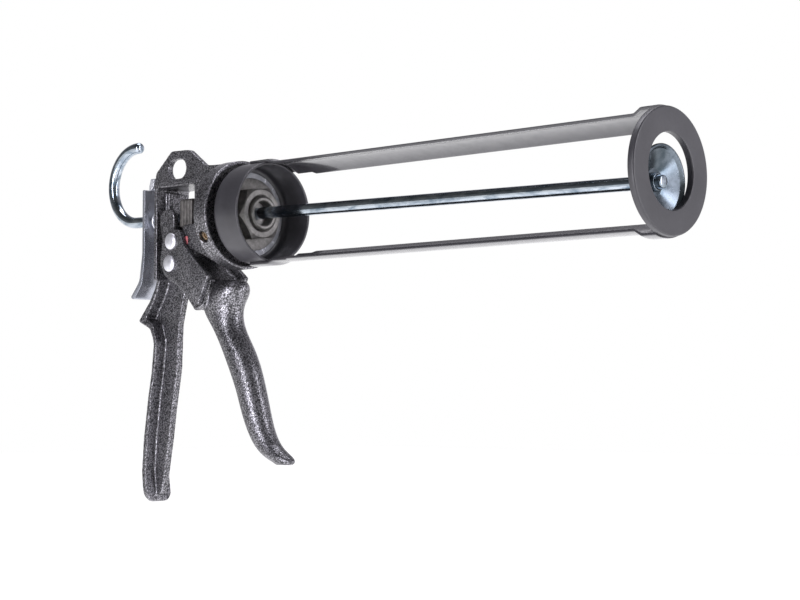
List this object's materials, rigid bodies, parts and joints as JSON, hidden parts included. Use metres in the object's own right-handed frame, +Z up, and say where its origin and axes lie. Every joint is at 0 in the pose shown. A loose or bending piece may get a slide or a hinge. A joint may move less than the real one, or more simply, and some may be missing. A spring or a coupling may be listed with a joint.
{
  "type": "caulking gun",
  "caption": "Hand caulking gun with an open revolving cartridge frame, hooked push rod, friction drive trigger and thumb release plate on a pistol handle.",
  "frame": {"origin": "on the cup's axis, in the plane of the cup's mouth, where the foot of the cartridge enters", "axes": "+X along the cup's axis to the nozzle ring, +Z up with the handle hanging down, -Y the side the cartridge goes in from"},
  "size_m": [0.3998, 0.06, 0.2092],
  "materials": {
    "hammered_paint": "gloss hammered",
    "satin_paint": "satin",
    "raw_steel": "dull",
    "bright_steel": "polished",
    "zinc": "bright zinc",
    "rivet_metal": "polished",
    "brass": "tarnished",
    "soft_pad": "matt"
  },
  "bodies": {
    "body": {"body_casting": "hammered_paint", "nose_bush": "raw_steel", "hex_nut": "raw_steel", "frame_washer": "raw_steel", "floor_washer": "zinc", "lock_screw": "brass", "release_clip": "zinc", "bump_stop": "soft_pad", "drive_spring": "zinc", "release_spring": "zinc"},
    "cartridge_frame": {"cup": "satin_paint", "strap_top": "satin_paint", "strap_bottom": "satin_paint", "front_ring": "satin_paint"},
    "plunger": {"plunger_disc": "zinc"},
    "push_rod": {"rod": "bright_steel", "plunger_collar": "zinc", "plunger_backer": "zinc"},
    "trigger": {"trigger_grip": "hammered_paint", "cheek_near": "hammered_paint", "cheek_far": "hammered_paint", "arm_spacer_near": "raw_steel", "arm_spacer_far": "raw_steel", "pivot_rivet": "rivet_metal", "lower_rivet_near": "rivet_metal", "lower_rivet_far": "rivet_metal"},
    "clutch": {"drive_plate_1": "raw_steel", "drive_plate_2": "raw_steel", "drive_plate_3": "raw_steel", "drive_plate_4": "raw_steel"},
    "release": {"release_plate": "zinc"}
  },
  "joints": [
    {"name": "frame_turn", "type": "hinge", "parent": "body", "child": "cartridge_frame", "pos_m": [-0.01, 0, 0], "axis": [1, 0, 0], "continuous": true},
    {"name": "plunger_slide", "type": "slide", "parent": "body", "child": "plunger", "axis": [0.9998, 0, -0.0175], "range_m": [-0.243, 0]},
    {"name": "rod_turn", "type": "hinge", "parent": "plunger", "child": "push_rod", "pos_m": [0.24496, 0, -0.00428], "axis": [0.9998, 0, -0.0175], "continuous": true},
    {"name": "trigger_pull", "type": "hinge", "parent": "body", "child": "trigger", "pos_m": [-0.0676, 0, -0.0128], "axis": [0, 1, 0], "range_deg": [0, 26], "stiffness_Nm_per_rad": 0.8, "springref_deg": -22.92},
    {"name": "clutch_slide", "type": "slide", "parent": "body", "child": "clutch", "axis": [0.9998, 0, -0.0175], "range_m": [0, 0.0048], "deforming": ["drive_spring"]},
    {"name": "release_press", "type": "hinge", "parent": "body", "child": "release", "pos_m": [-0.0992, 0, 0.017], "axis": [0, -1, 0], "range_deg": [0, 8], "stiffness_Nm_per_rad": 0.2, "springref_deg": -17.19, "deforming": ["release_spring"]}
  ],
  "couplings": [
    {"joint": "clutch_slide", "follows": "trigger_pull", "m_per_rad": 0.010578}
  ]
}
